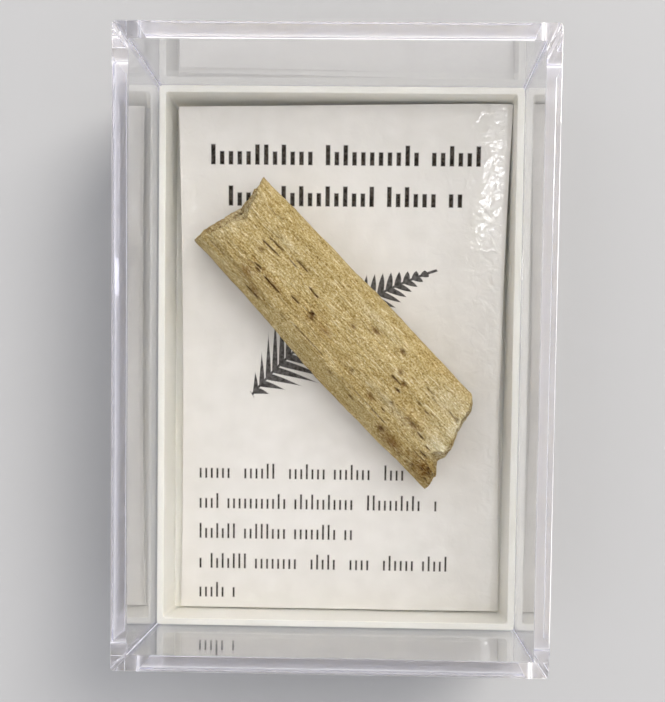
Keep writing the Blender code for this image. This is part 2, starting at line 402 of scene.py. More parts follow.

# Glossy laminated card: a warm white with a faint mottle, which is partly paper tone and partly a
# painted mottled sheen, under a clear film that is very slightly dimpled, so that a small lamp breaks
# up into specks in it. The film's IOR is higher than a real one's, for it stands for the shine of the
# film and the coated card under it together.
coated_card, tree = new_material("glossy_coated_card")
place = node(tree, "ShaderNodeTexCoord").outputs["Object"]
mm = node(tree, "ShaderNodeMapping", {"Vector": place, "Scale": (1 / MM,) * 3}).outputs["Vector"]
spot = node(tree, "ShaderNodeSeparateXYZ", {"Vector": mm})


def stroke_row(tree, x, y, foot, left, right, tall, pitch, width, word, seed):
    """1 on the ink of one row of upright strokes, grouped as words are, and 0 off it."""
    start = node(tree, MATH, {0: x, 1: pitch}, operation="SNAP").outputs[0]
    middle = node(tree, MATH, {0: start, 1: pitch / 2}, operation="ADD").outputs[0]
    own = node(tree, MATH, {0: middle, 1: seed}, operation="ADD").outputs[0]
    words = node(
        tree,
        "ShaderNodeTexVoronoi",
        {"W": own, "Scale": 1 / word, "Randomness": WORD_UNEVEN},
        voronoi_dimensions="1D",
        feature="DISTANCE_TO_EDGE",
    ).outputs["Distance"]
    in_word = node(tree, MATH, {0: words, 1: WORD_GAP / word}, operation="GREATER_THAN").outputs[0]
    after = node(tree, MATH, {0: middle, 1: left}, operation="GREATER_THAN").outputs[0]
    before = node(tree, MATH, {0: middle, 1: right}, operation="LESS_THAN").outputs[0]
    chance = node(tree, "ShaderNodeTexWhiteNoise", {"W": own}, noise_dimensions="1D").outputs["Value"]
    short = node(tree, MATH, {0: chance, 1: SHORT_SHARE}, operation="LESS_THAN").outputs[0]
    lower = tall * (SHORT_STROKE - 1)
    top = node(tree, MATH, {0: short, 1: lower, 2: tall}, operation="MULTIPLY_ADD").outputs[0]
    up = node(tree, MATH, {0: y, 1: foot}, operation="SUBTRACT").outputs[0]
    under = node(tree, MATH, {0: top, 1: up}, operation="SUBTRACT").outputs[0]
    inside = node(tree, MATH, {0: up, 1: under}, operation="MINIMUM").outputs[0]
    aside = node(tree, MATH, {0: x, 1: middle}, operation="SUBTRACT").outputs[0]
    aside = node(tree, MATH, {0: aside}, operation="ABSOLUTE").outputs[0]
    aside = node(tree, MATH, {0: width / 2, 1: aside}, operation="SUBTRACT").outputs[0]
    inside = node(tree, MATH, {0: inside, 1: aside}, operation="MINIMUM").outputs[0]
    bleed = {"Value": inside, "From Min": -INK_BLEED, "From Max": INK_BLEED}
    shown = node(tree, "ShaderNodeMapRange", bleed).outputs["Result"]
    for allowed in (in_word, after, before):
        shown = node(tree, MATH, {0: shown, 1: allowed}, operation="MULTIPLY").outputs[0]
    return shown


ink = 0.0
for index, row in enumerate(PRINT_ROWS):
    shown = stroke_row(tree, spot.outputs["X"], spot.outputs["Y"], *row, seed=ROW_SHIFT * index)
    ink = node(tree, MATH, {0: ink, 1: shown}, operation="MAXIMUM").outputs[0]

# A grey printed fern frond: x runs along its stem and y across it.
FERN_FOOT = (-8.6, -0.9)
FERN_TURN = 33.0  # degrees
FERN_LENGTH = 21.5
FERN_ARCH = 0.012  # per square mm
FOOT_REACH = 1.6  # the leaflets' length at the stem's foot
REACH_GROWTH = 0.55  # how much longer they are per mm along
TIP_TAPER = 0.36  # and how they shorten towards the tip
LEAFLET_PITCH = 0.98
LEAFLET_SWEEP = 0.75  # how far a leaflet leans forward, per mm across
LEAFLET_HALF_WIDTH = 0.40
STEM_WIDTH = 0.28
STEM_FOOT = 2.0  # how far the bare stem runs on past the foot
frond = node(
    tree,
    "ShaderNodeMapping",
    {"Vector": mm, "Location": (*FERN_FOOT, 0), "Rotation": (0, 0, math.radians(FERN_TURN))},
    vector_type="TEXTURE",
)
frond = node(tree, "ShaderNodeSeparateXYZ", {"Vector": frond.outputs["Vector"]})
along = frond.outputs["X"]
from_middle = node(tree, MATH, {0: along, 1: FERN_LENGTH / 2}, operation="SUBTRACT").outputs[0]
arch = node(tree, MATH, {0: from_middle, 1: from_middle}, operation="MULTIPLY").outputs[0]
side = {0: arch, 1: FERN_ARCH, 2: frond.outputs["Y"]}
side = node(tree, MATH, side, operation="MULTIPLY_ADD").outputs[0]
side = node(tree, MATH, {0: side}, operation="ABSOLUTE").outputs[0]
left_over = node(tree, MATH, {0: FERN_LENGTH, 1: along}, operation="SUBTRACT").outputs[0]
reach = {0: along, 1: REACH_GROWTH, 2: FOOT_REACH}
reach = node(tree, MATH, reach, operation="MULTIPLY_ADD").outputs[0]
taper = node(tree, MATH, {0: left_over, 1: TIP_TAPER}, operation="MULTIPLY").outputs[0]
reach = node(tree, MATH, {0: reach, 1: taper}, operation="MINIMUM").outputs[0]
out = node(tree, MATH, {0: side, 1: reach}, operation="DIVIDE").outputs[0]
out = node(tree, MATH, {0: out, 1: 2.0}, operation="POWER").outputs[0]
leaf_width = {0: out, 1: -LEAFLET_HALF_WIDTH, 2: LEAFLET_HALF_WIDTH}
leaf_width = node(tree, MATH, leaf_width, operation="MULTIPLY_ADD").outputs[0]
swept = node(tree, MATH, {0: side, 1: -LEAFLET_SWEEP, 2: along}, operation="MULTIPLY_ADD").outputs[0]
aside = node(tree, MATH, {0: swept, 1: LEAFLET_PITCH}, operation="PINGPONG").outputs[0]
aside = node(tree, MATH, {0: aside, 1: LEAFLET_PITCH / 2}, operation="SUBTRACT").outputs[0]
aside = node(tree, MATH, {0: aside}, operation="ABSOLUTE").outputs[0]
leaf = node(tree, MATH, {0: leaf_width, 1: aside}, operation="SUBTRACT").outputs[0]
stem = node(tree, MATH, {0: STEM_WIDTH / 2, 1: side}, operation="SUBTRACT").outputs[0]
fern = node(tree, MATH, {0: leaf, 1: stem}, operation="MAXIMUM").outputs[0]
root = node(tree, MATH, {0: along, 1: STEM_FOOT}, operation="ADD").outputs[0]
for limit in (root, left_over):
    fern = node(tree, MATH, {0: fern, 1: limit}, operation="MINIMUM").outputs[0]
fern = node(tree, "ShaderNodeMapRange", {"Value": fern, "From Min": -INK_BLEED, "From Max": INK_BLEED})

# The board's mottle is paper tone and painted sheen together: soft paler and darker clouds that stand
# for a broken reflection.
board = {"Vector": mm, "Scale": 1 / MOTTLE_AND_SHEEN, "Detail": 5.0}
board = node(tree, "ShaderNodeTexNoise", board).outputs["Fac"]
board_tone_and_sheen = node(tree, "ShaderNodeValToRGB", {"Fac": board})
set_stops(board_tone_and_sheen, ((0.3, CARD_SHADE), (0.7, CARD_CREAM)))
speck = {"Vector": mm, "Scale": 1 / INK_GRAIN, "Detail": 3.0}
speck = node(tree, "ShaderNodeTexNoise", speck).outputs["Fac"]
fern_tone = node(tree, "ShaderNodeValToRGB", {"Fac": speck})
set_stops(fern_tone, ((0.35, FERN_INK), (0.65, FERN_PALE)))
worn = {"Value": speck, "From Min": 0.30, "From Max": 0.60, "To Min": INK_WORN}
worn = node(tree, "ShaderNodeMapRange", worn).outputs["Result"]
ink = node(tree, MATH, {0: ink, 1: worn}, operation="MULTIPLY").outputs[0]
printed = board_tone_and_sheen.outputs["Color"]
for share, tint in ((fern.outputs["Result"], fern_tone.outputs["Color"]), (ink, linear(CARD_INK))):
    printed = node(tree, "ShaderNodeMix", {0: share, 6: printed, 7: tint}, data_type="RGBA").outputs[2]
film = node(
    tree,
    "ShaderNodeTexNoise",
    {"Vector": mm, "Scale": 1 / DIMPLE, "Detail": 2.0, "Roughness": 0.5, "Distortion": 0.6},
).outputs["Fac"]
gloss = node(
    tree, "ShaderNodeBump", {"Height": film, "Strength": 1.0, "Distance": DIMPLE_DEPTH * MM}
).outputs["Normal"]
surface = node(
    tree,
    "ShaderNodeBsdfPrincipled",
    {
        "Base Color": printed,
        "Roughness": 0.6,
        "Specular IOR Level": 0.0,
        "Coat Weight": 1.0,
        "Coat Roughness": FILM_ROUGHNESS,
        "Coat IOR": FILM_IOR,
        "Normal": gloss,
        "Coat Normal": gloss,
    },
)
node(tree, "ShaderNodeOutputMaterial", {"Surface": surface.outputs["BSDF"]})

bm = bmesh.new()
bmesh.ops.create_grid(bm, x_segments=60, y_segments=90, size=1.0)
corners = [Vector(corner) for corner in CARD_CORNERS]
left_waist, right_waist = CARD_WAIST
for vert in bm.verts:
    across = (vert.co.x + 1) / 2
    along = (vert.co.y + 1) / 2
    front = corners[0].lerp(corners[1], across)
    back = corners[2].lerp(corners[3], across)
    x, y = front.lerp(back, along)
    x += (left_waist * (1 - across) - right_waist * across) * 4 * along * (1 - along)
    past = max(0.0, x - (corners[1].x - DROOP_WIDTH))
    vert.co = Vector((x, y, card_height(y) - CARD_DROOP * past * past))
bmesh.ops.solidify(bm, geom=bm.faces[:], thickness=CARD_THICK)
face_outwards(bm)
card = new_piece("printed_label", bm, coated_card)
for polygon in card.data.polygons:
    polygon.use_smooth = True
card.data.set_sharp_from_angle(angle=math.radians(SHARP_ANGLE))
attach(card, "root")
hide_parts("label_card")


# --- tendon: the fossil, a flattened rod of mineralised tendon fibres, snapped across at both ends. It
# lies loose on the card. Its own frame has x along it, y across it and z up from its lowest point.
TENDON_CENTRE = (0.17, 3.45)
TENDON_TURN = -45.24  # degrees
TENDON_HEIGHT = 5.8
TENDON_HALF_WIDTH = 5.0
TENDON_GAP = 0.06  # it all but touches the curved card
AROUND = 476  # vertices round it
RINGS = 206  # and along it, both broken faces included
CAP_RINGS = 16  # of them on each broken face

# The section across it, from its right flank over the top: (half widths, heights).
SECTION = (
    (1.00, 0.50),
    (0.97, 0.80),
    (0.80, 0.96),
    (0.38, 1.00),
    (-0.12, 0.98),
    (-0.46, 0.92),
    (-0.76, 0.77),
    (-0.95, 0.56),
    (-1.00, 0.38),
    (-0.90, 0.14),
    (-0.55, 0.01),
    (0.00, 0.00),
    (0.55, 0.01),
    (0.92, 0.17),
)
# How wide the left flank is at each place along it: (x, times the half width). The right one is even.
FLANK = ((-17.0, 0.91), (-9.8, 0.95), (-5.0, 1.00), (0.5, 1.055), (18.0, 1.06))
# Where it is snapped across: (y, x of the break's lower part, x of its upper edge).
LEFT_BREAK = (
    (4.95, -16.05, -15.75),
    (4.14, -16.00, -15.40),
    (3.15, -15.87, -15.05),
    (2.30, -15.72, -14.75),
    (1.45, -15.60, -14.45),
    (0.95, -15.70, -14.05),
    (0.40, -15.88, -14.30),
    (-0.20, -16.05, -14.65),
    (-0.90, -16.22, -15.00),
    (-1.90, -16.42, -15.25),
    (-3.00, -16.63, -15.45),
    (-3.70, -16.70, -15.60),
    (-4.54, -16.68, -15.85),
)
RIGHT_BREAK = (
    (4.95, 14.30, 14.00),
    (4.37, 15.19, 14.75),
    (3.80, 15.47, 15.10),
    (3.51, 15.76, 15.25),
    (2.41, 15.80, 15.40),
    (1.38, 16.11, 15.75),
    (0.58, 16.56, 16.13),
    (-0.34, 16.97, 16.45),
    (-1.15, 17.19, 16.53),
    (-1.75, 17.00, 15.90),
    (-2.15, 16.90, 15.55),
    (-2.60, 17.20, 16.40),
    (-3.22, 17.89, 17.20),
    (-3.91, 18.00, 17.35),
    (-4.48, 18.15, 17.70),
    (-5.29, 18.15, 17.70),
)

# Open cracks in the upper face: (x from, x to, y, depth).
CRACKS = (
    (-11.3, -9.2, 0.52, 0.30),
    (-4.8, -3.5, 0.52, 0.28),
    (-7.6, -6.1, 1.53, 0.25),
    (-11.1, -9.1, 1.18, 0.14),
    (-8.2, -7.1, 1.06, 0.16),
    (-10.2, -9.5, -1.60, 0.34),
    (-10.0, -9.4, -1.90, 0.22),
    (-8.7, -6.6, -1.95, 0.34),
    (-5.5, -4.4, -1.30, 0.20),
    (-15.4, -13.1, -3.30, 0.08),
    (-3.6, 0.9, -3.17, 0.11),
    (3.7, 8.1, -3.36, 0.09),
    (8.1, 10.2, -3.42, 0.14),
    (14.3, 16.4, -3.30, 0.12),
    (7.2, 8.4, 0.43, 0.36),
    (8.4, 8.9, -0.19, 0.34),
    (14.7, 15.5, -2.81, 0.34),
    (10.3, 11.6, 2.10, 0.14),
    (-9.5, -7.8, -3.90, 0.26),
    (8.8, 9.3, -2.61, 0.20),
    (5.5, 6.3, -4.12, 0.18),
    (13.1, 14.0, -1.74, 0.16),
    (11.5, 12.2, 1.78, 0.12),
    (13.7, 14.8, 2.02, 0.12),
    (11.9, 12.6, 0.34, 0.14),
    (14.6, 15.3, -2.05, 0.14),
)
# Pits in it: (x, y, length, width, depth).
HOLLOWS = (
    (-2.8, -1.06, 0.26, 0.16, 0.30),
    (-2.5, -1.46, 0.40, 0.14, 0.16),
    (6.2, 2.87, 0.28, 0.16, 0.20),
    (2.9, 2.33, 0.40, 0.22, 0.12),
    (1.0, 1.02, 0.25, 0.18, 0.12),
    (7.6, 1.25, 0.26, 0.22, 0.14),
    (8.6, 0.70, 0.26, 0.20, 0.18),
    (11.1, 0.42, 0.30, 0.14, 0.12),
    (4.0, -2.16, 0.18, 0.20, 0.18),
    (2.6, -3.90, 0.24, 0.14, 0.12),
    (10.3, -4.18, 0.32, 0.24, 0.20),
    (9.1, -1.54, 0.20, 0.16, 0.16),
    (7.2, -2.55, 0.45, 0.22, 0.10),
    (12.1, -1.50, 0.50, 0.18, 0.14),
    (14.9, 1.98, 0.22, 0.22, 0.14),
    (-10.8, -0.26, 0.22, 0.22, 0.08),
    (-9.1, 3.03, 0.20, 0.10, 0.10),
    (16.6, -3.55, 0.25, 0.20, 0.30),
    (17.0, -3.90, 0.20, 0.18, 0.30),
    (16.2, -4.05, 0.22, 0.16, 0.25),
    (16.9, -2.70, 0.14, 0.10, 0.25),
    (17.5, -3.60, 0.14, 0.26, 0.35),
    (13.4, -4.70, 0.24, 0.12, 0.20),
    (15.3, -4.45, 0.20, 0.14, 0.22),
    (14.6, -4.60, 0.16, 0.10, 0.18),
    (17.2, -4.55, 0.20, 0.12, 0.25),
    (-15.32, 1.20, 0.12, 0.24, 0.16),
    (-15.05, 0.66, 0.12, 0.28, 0.24),
    (-15.12, 0.15, 0.12, 0.16, 0.16),
)
# Brown stains: (x, y, length, width, strength).
STAINS = (
    (-10.45, -2.76, 0.70, 0.40, 0.60),
    (-8.60, -3.60, 0.75, 0.30, 0.55),
    (-0.60, -1.30, 0.60, 0.30, 0.65),
    (12.0, -4.30, 1.00, 0.45, 0.80),
    (10.3, -4.15, 0.40, 0.30, 0.70),
    (2.9, 2.35, 0.50, 0.25, 0.60),
    (7.2, -2.55, 0.45, 0.25, 0.50),
    (1.0, 1.02, 0.35, 0.22, 0.50),
    (12.1, -1.50, 0.60, 0.22, 0.50),
    (-2.6, -1.30, 0.40, 0.30, 0.50),
    (7.5, 1.30, 0.30, 0.25, 0.45),
    (8.6, 0.72, 0.30, 0.20, 0.50),
    (15.8, -4.10, 1.20, 0.60, 0.45),
    (-10.9, -0.28, 0.35, 0.30, 0.45),
    (-7.5, -1.75, 1.10, 0.22, 0.30),
    (6.2, 2.87, 0.30, 0.18, 0.50),
)

# Gold-tinted and pale areas: (x, y, length, width, strength). The long band at y -2.2 is painted shade,
# a darker gold along the side turned away from the key lamp.
GOLDEN_AND_SHADE = (
    (10.5, 4.5, 4.5, 0.7, 0.35),
    # painted shade: a long darker gold band on the side turned from the key lamp
    (0.0, -2.2, 14.0, 1.1, 0.28),
    (-15.2, 4.5, 1.6, 0.8, 0.30),
    (-2.5, -1.1, 3.2, 0.8, 0.35),
    (11.8, -1.1, 2.6, 0.9, 0.45),
    (16.6, -3.6, 1.6, 1.3, 0.80),
    (13.0, -3.9, 3.0, 0.7, 0.45),
)
PALE = (
    (15.4, 1.6, 0.7, 2.2, 0.80),
    (15.6, -1.2, 1.6, 0.8, 0.95),
    (13.5, 2.6, 2.6, 1.6, 0.40),
    (2.5, 3.2, 3.4, 0.6, 0.35),
    (-9.5, 2.0, 1.6, 0.4, 0.40),
    (9.5, -1.9, 3.0, 0.5, 0.40),
    (-14.9, 0.5, 1.0, 3.0, 0.35),
    (14.0, 0.5, 1.8, 2.6, 0.30),
)
# Areas thick with small dirty pores: (x, y, length, width, strength).
PITTED = (
    (16.3, -3.9, 1.9, 1.1, 1.0),
    (12.4, -4.3, 2.4, 0.7, 0.9),
    (11.5, -1.6, 2.8, 0.9, 0.55),
    (-9.6, -2.0, 2.6, 1.0, 0.6),
    (-10.0, -3.3, 2.2, 0.8, 0.5),
    (8.0, 0.6, 1.8, 0.9, 0.45),
    (-2.6, -1.3, 1.4, 0.8, 0.5),
    (-15.2, 0.8, 0.4, 1.0, 0.3),
)
LEDGE = 0.28  # the corner beyond the pale layer's broken end lies this much lower
LEDGE_BACK = (15.0, 15.7)  # where that layer ends along the tendon
LEDGE_SIDE = (2.2, 2.6)  # and across it
LEDGE_FROM = 0.6  # of the height; what is lower stays


def ramp(values, start, end):
    """0 before start, 1 after end, and smooth between."""
    t = np.clip((values - start) / (end - start), 0, 1)
    return t * t * (3 - 2 * t)


def read_table(table, keys, column):
    """Values between the rows of a table, found by its first column."""
    rows = np.array(sorted(table))
    return np.interp(keys, rows[:, 0], rows[:, column])


def waves(x, y, z):
    """Smooth noise at each place, from about -1 to 1."""
    return np.array([noise.noise(Vector(spot)) for spot in zip(x, y, z)])


def section_point(turn):
    """A point of the closed outline, turn running from 0 to 1, on a smooth curve through SECTION."""
    count = len(SECTION)
    place = (turn % 1.0) * count
    index = int(place)
    t = place - index
    p0, p1, p2, p3 = (Vector(SECTION[(index + step) % count]) for step in (-1, 0, 1, 2))
    bend = (p2 - p0) * t + (2 * p0 - 5 * p1 + 4 * p2 - p3) * t**2
    return 0.5 * (2 * p1 + bend + (3 * p1 - p0 - 3 * p2 + p3) * t**3)


# A broken face: bundles of fibres snapped at slightly different places, so it is stepped and hackly.
# The rows are waves in it: (height, waves per mm across, waves per mm up).
HACKLE = ((0.12, 1.3, 5 / TENDON_HEIGHT), (0.12, 4.2, 5.0), (0.05, 11.0, 13.0))
BUNDLE_STEP = 0.12  # how far neighbouring bundles differ
BUNDLES_PER_MM = (1.4, 1.9)  # across and up
CELL_SHIFT = 40  # chooses which bundles stand out
FOOT_BACK = 0.5  # how far the lower edge of a broken face stands back
END_WEAR = 0.10
END_SEED = 7.0


def end_place(table, inward, y, height):
    """Where a broken end lies at each place across it. The left end has inward +1, the right -1."""
    middle = read_table(table, y, 1)
    top = read_table(table, y, 2)
    z = height * TENDON_HEIGHT
    side = np.full(len(y), END_SEED * inward)
    place = middle + (top - middle) * ramp(height, 0.5, 1.0)
    place += FOOT_BACK * inward * (1 - ramp(height, 0.0, 0.4))
    for depth, across, up in HACKLE:
        place += depth * waves(y * across, z * up, side)
    across, up = BUNDLES_PER_MM
    cells = zip(y * across + CELL_SHIFT, z * up + CELL_SHIFT, side)
    bundles = np.array([noise.cell(Vector(cell)) for cell in cells])
    place += BUNDLE_STEP * (bundles - 0.5)
    return place + END_WEAR * inward


bm = bmesh.new()
bmesh.ops.create_uvsphere(bm, u_segments=AROUND, v_segments=RINGS, radius=1.0)
ball = np.array([vert.co for vert in bm.verts])
ring = np.rint(np.arccos(np.clip(ball[:, 2], -1, 1)) / math.pi * RINGS)
turn = np.arctan2(ball[:, 1], ball[:, 0]) / math.tau
outline = np.array([section_point(facet / AROUND) for facet in range(AROUND)])
outline = outline[np.rint(turn * AROUND).astype(int) % AROUND]
from_end = np.minimum(ring, RINGS - ring)
reach = np.minimum(1, from_end / CAP_RINGS)
along = np.clip((ring - CAP_RINGS) / (RINGS - 2 * CAP_RINGS), 0, 1)
py = outline[:, 0] * reach * TENDON_HALF_WIDTH
height = 0.5 + (outline[:, 1] - 0.5) * reach
left = end_place(LEFT_BREAK, 1, py, height)
right = end_place(RIGHT_BREAK, -1, py, height)
px = left + (right - left) * along
py *= 1 + (read_table(FLANK, px, 1) - 1) * np.clip(-py / TENDON_HALF_WIDTH, 0, 1)
pz = height * TENDON_HEIGHT

# How far the shaft stands out: broad ridges as in the solid, then finer and finer fibres. The rows
# are (height, waves per mm along, across and up, shift along, shift across, folded), and a folded wave
# is a groove between two strands.
RIDGES = (0.24, 0.06, 26.0, 3.0)  # their height, waves per mm along, waves round the shaft, seed
SHAFT_WAVES = (
    (0.12, 0.25, 0.5, 2 / TENDON_HEIGHT, 0, 0, False),
    (0.05, 0.11, 1.7, 1.7, 0, 0, False),
    (-0.09, 0.17, 3.1, 3.1, 9, 0, True),
    (-0.08, 0.45, 6.0, 6.0, 5, 0, True),
    (0.04, 1.7, 5.0, 5.0, 0, 3, False),
)
FADE = (-0.5, 0.4)  # the waves fade out this near to an end
ridge_height, ridge_long, ridges_round, ridge_seed = RIDGES
out = ridge_height * waves(px * ridge_long, turn * ridges_round, np.full(len(px), ridge_seed))
for depth, lengthwise, across, up, shift_x, shift_y, folded in SHAFT_WAVES:
    wave = waves(px * lengthwise + shift_x, py * across + shift_y, pz * up)
    out += depth * (np.abs(wave) if folded else wave)
on_shaft = from_end >= CAP_RINGS
out *= ramp(np.minimum(px - left, right - px), *FADE) * on_shaft
outward = np.stack((py / TENDON_HALF_WIDTH, height - 0.5))
outward /= np.maximum(np.linalg.norm(outward, axis=0), 1e-6)
py += outward[0] * out
pz += outward[1] * out
pz -= LEDGE * ramp(px, *LEDGE_BACK) * ramp(-py, *LEDGE_SIDE) * (height > LEDGE_FROM) * on_shaft


def place_points(bm, points):
    """Moves the bmesh's vertices to these points."""
    for vert, point in zip(bm.verts, points):
        vert.co = point


# The cracks, pits and stains of the tables, each with a ragged edge, and dirt with painted shade in
# what is deep, darker the deeper it is.
CRACK_WANDER = 0.06
CRACK_HALF_WIDTH = 0.072
CRACK_TAPER = 0.35  # length of its closing ends
CRACK_SHARE = 0.8  # of its depth, since the dirt and painted shade in it stand for the rest
CRACK_FRAY = (0.85, 0.9)  # how whole its line is, and how much that varies
CRACK_DIRT_SHADE_PER_MM = 7.5  # how dark it is, per mm of its depth
PIT_DIRT_SHADE_PER_MM = 4.5
PIT_FRAY = 0.8
STAIN_FRAY = 1.3
TINT_FRAY = 0.9
place_points(bm, np.stack((px, py, pz), axis=1))
face_outwards(bm)
points = np.array([vert.co for vert in bm.verts])
normals = np.array([vert.normal for vert in bm.verts])
px, py, pz = points.T
upper = np.clip((normals[:, 2] - 0.1) / 0.3, 0, 1)  # 1 on the upper face, 0 on the sides and below
sunk = np.zeros(len(points))  # how deep each point lies in a crack, pit or slit
crevice_dirt_and_shade = np.zeros(len(points))  # how much dirt and painted shade it holds
wander = waves(px * 0.9, py * 0.4, np.full(len(px), 2.0))  # how a crack strays from its line
ragged = waves(px * 2.5, py * 7.0, np.full(len(px), 8.0))  # how its edges fray along the fibres


def patch(x, y, length, width, fray):
    """1 in the middle of an oval on the upper face, falling to 0 round it, with a ragged edge."""
    away = ((px - x) / length) ** 2 + ((py - y) / width) ** 2
    return np.exp(-away * np.clip(1 + fray * ragged, 0.3, 3)) * upper


# Each crack and pit holds dirt and painted shade, darker the deeper it is.
for start, end, across, depth in CRACKS:
    aside = (py - across - CRACK_WANDER * wander) / CRACK_HALF_WIDTH
    mark = np.exp(-(aside**2)) * upper
    for inside in (px - start, end - px):
        mark *= np.clip(inside / CRACK_TAPER + 0.5, 0, 1)
    mark *= np.clip(CRACK_FRAY[0] + CRACK_FRAY[1] * ragged, 0, 1)
    sunk += CRACK_SHARE * depth * mark
    crevice_dirt_and_shade = np.maximum(crevice_dirt_and_shade, np.minimum(1, CRACK_DIRT_SHADE_PER_MM * depth * mark))
for x, y, length, width, depth in HOLLOWS:
    mark = patch(x, y, length, width, PIT_FRAY)
    sunk += depth * mark
    crevice_dirt_and_shade = np.maximum(crevice_dirt_and_shade, np.minimum(1, PIT_DIRT_SHADE_PER_MM * depth * mark))
tints = {}
for name, spots, fray in (
    ("stain", STAINS, STAIN_FRAY),
    ("golden_and_shade", GOLDEN_AND_SHADE, TINT_FRAY),
    ("pale", PALE, TINT_FRAY),
    ("pitted", PITTED, TINT_FRAY),
):
    tints[name] = np.zeros(len(points))
    for x, y, length, width, strength in spots:
        tints[name] = np.maximum(tints[name], strength * patch(x, y, length, width, fray))

# The broken faces are blotched brown, and thick with dirty pores between the fibres.
BREAK_PORES = 0.8
BREAK_STAIN = (0.05, 0.9, 0.6)  # how much is everywhere, how much it varies, and its most
broken = np.clip((np.abs(normals[:, 0]) - 0.55) / 0.25, 0, 1)  # 1 on what faces along the tendon
blotch = waves(px * 1.5, py * 3.5, pz * 3.5)
least, swing, most = BREAK_STAIN
tints["stain"] = np.maximum(tints["stain"], broken * np.clip(least + swing * blotch, 0, most))
tints["pitted"] = np.maximum(tints["pitted"], BREAK_PORES * broken)

# Short slits between fibres, strewn all round the shaft.
SLITS = 260
SLIT_PLACES = (-15.5, 17.0)
SLIT_LENGTHS = (0.12, 0.60)
SLIT_DEPTHS = (0.02, 0.09)
SLIT_WIDTHS = (0.035, 0.055)
SLIT_TAPER = 0.2
SLIT_DIRT_SHADE_PER_MM = 6.5
DEEPEST = 0.45
chance = random.Random(7)
shaft = np.abs(normals[:, 0]) < 0.5
# Each slit holds dirt and painted shade, darker the deeper it is.
for _ in range(SLITS):
    seat = points[chance.randrange(len(points))]
    x = chance.uniform(*SLIT_PLACES)
    length = chance.uniform(*SLIT_LENGTHS)
    depth = chance.uniform(*SLIT_DEPTHS)
    width = chance.uniform(*SLIT_WIDTHS)
    near = (np.abs(px - x) < length + 2 * SLIT_TAPER) & shaft
    away = ((py[near] - seat[1]) ** 2 + (pz[near] - seat[2]) ** 2) / width**2
    mark = np.exp(-away) * np.clip((length - np.abs(px[near] - x)) / SLIT_TAPER + 0.5, 0, 1)
    sunk[near] += depth * mark
    crevice_dirt_and_shade[near] = np.maximum(crevice_dirt_and_shade[near], np.minimum(1, SLIT_DIRT_SHADE_PER_MM * depth * mark))
points -= normals * np.minimum(sunk, DEEPEST)[:, None]
points[:, 2] -= points[:, 2].min()
place_points(bm, points)
tints["crevice_dirt_and_shade"] = crevice_dirt_and_shade

x, y = TENDON_CENTRE
slope = CARD_RISE + 2 * CARD_CURL * (y - CARD_CORNERS[0][1])
tilted = Matrix.Rotation(math.atan(slope), 4, "X")
lie = tilted @ Matrix.Rotation(math.radians(TENDON_TURN), 4, "Z")
rest = Vector((x, y, card_height(y) + TENDON_GAP))
bmesh.ops.transform(bm, matrix=Matrix.Translation(rest) @ lie, verts=bm.verts)

# Mineralised tendon: dull, stone-hard fibres packed side by side. Tan bundles about 0.6 mm wide, fibres
# of 0.18 mm in them and a grit of 0.15 mm, with single dark and cream threads. Dark dirt and painted
# shade fill the cracks, darker the deeper they are, and dirt fills the small pores. Iron leaves brown
# stains and a gold tint, and a long darker gold band on the side away from the key lamp is painted
# shade.
TENDON_TAN = (
    (0.29, "#644919"),
    (0.42, "#a58d53"),
    (0.51, "#bda875"),
    (0.60, "#d1be8e"),
    (0.71, "#f4eac6"),
)
TENDON_GOLD_AND_SHADE = ((0.30, "#694d1c"), (0.45, "#a08141"), (0.55, "#ba9b58"), (0.68, "#dabb76"))
TENDON_PALE = ((0.30, "#a89870"), (0.45, "#d0c49c"), (0.55, "#dfd6b7"), (0.68, "#f4f0de"))
GROOVE_SHADE = "#6d5728"
THREAD_CREAM = "#f3e9c6"
BROWN_STAIN = "#714a13"
# dark brown of the dirt and painted shade in the cracks, pits and slits
CRACK_DIRT_AND_SHADE = "#482500"
BUNDLE = (0.62, 14.0, 3.0)  # width, how many times longer, and detail of the noise
FIBRE = (0.18, 3.5, 1.0)
GRIT = (0.15, 1.2, 1.0)
THREAD = (0.15, 9.0, 1.0)
PORE = (0.24, 2.2, 1.0)
TONE_SHARES = (0.20, 0.30, 0.50)  # of the bundles, the fibres and the grit
DARK_THREADS = (0.37, 0.28, 0.50)  # where the threads' noise shows none, where all, and how strong
CREAM_THREADS = (0.64, 0.72, 0.60)
PORE_EDGE = (0.46, 0.36)  # where the pores' noise turns from clean to dirty
FUZZ = 0.10  # depth of the fibres and the grit
GRIT_HEIGHT = 0.7  # beside the fibres'
PORE_SINK = 0.5
MINERAL_ROUGHNESS = 0.8
MINERAL_GLOSS = 0.1

mineral_bone, tree = new_material("mineralised_tendon")
place = node(tree, "ShaderNodeTexCoord").outputs["Object"]
own = {"Vector": place, "Location": rest * MM, "Rotation": lie.to_euler("XYZ"), "Scale": (MM,) * 3}
own = node(tree, "ShaderNodeMapping", own, vector_type="TEXTURE").outputs["Vector"]


def strands(tree, width, longer, detail):
    """Noise drawn out along the tendon, each wave so wide and so many times longer."""
    drawn = {"Vector": own, "Scale": (1 / (width * longer), 1 / width, 1 / width)}
    drawn = node(tree, "ShaderNodeMapping", drawn).outputs["Vector"]
    pattern = {"Vector": drawn, "Scale": 1.0, "Detail": detail, "Roughness": 0.5}
    return node(tree, "ShaderNodeTexNoise", pattern).outputs["Fac"]


